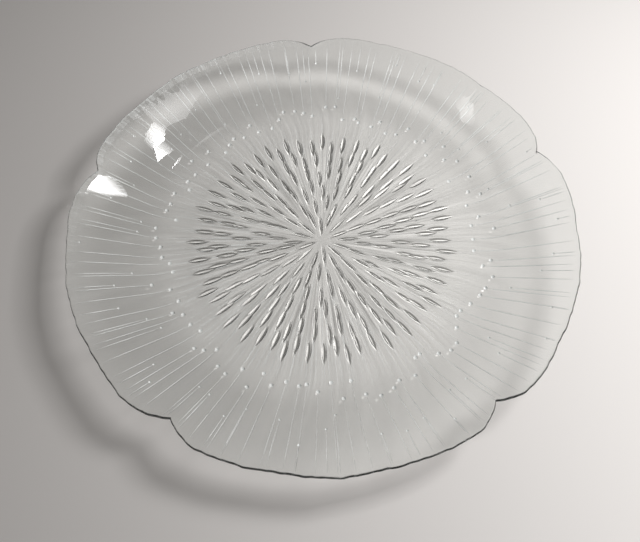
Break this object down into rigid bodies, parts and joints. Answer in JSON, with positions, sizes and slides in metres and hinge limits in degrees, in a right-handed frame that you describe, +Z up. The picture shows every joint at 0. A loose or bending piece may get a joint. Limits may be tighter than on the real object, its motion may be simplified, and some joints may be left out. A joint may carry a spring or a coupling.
{
  "type": "serving dish",
  "caption": "Shallow round serving dish of clear pressed glass, with a petalled, notched rim, a low foot ring and a sunburst of leaves and pearls in relief underneath.",
  "frame": {"origin": "centre of the foot ring, on the table", "axes": "+Z up out of the dish, +Y towards one notch of the rim"},
  "size_m": [0.3196, 0.3184, 0.0249],
  "materials": {
    "glass": "fire-polished, clear with a faint green cast"
  },
  "bodies": {
    "root": {"dish": "glass"}
  },
  "joints": []
}
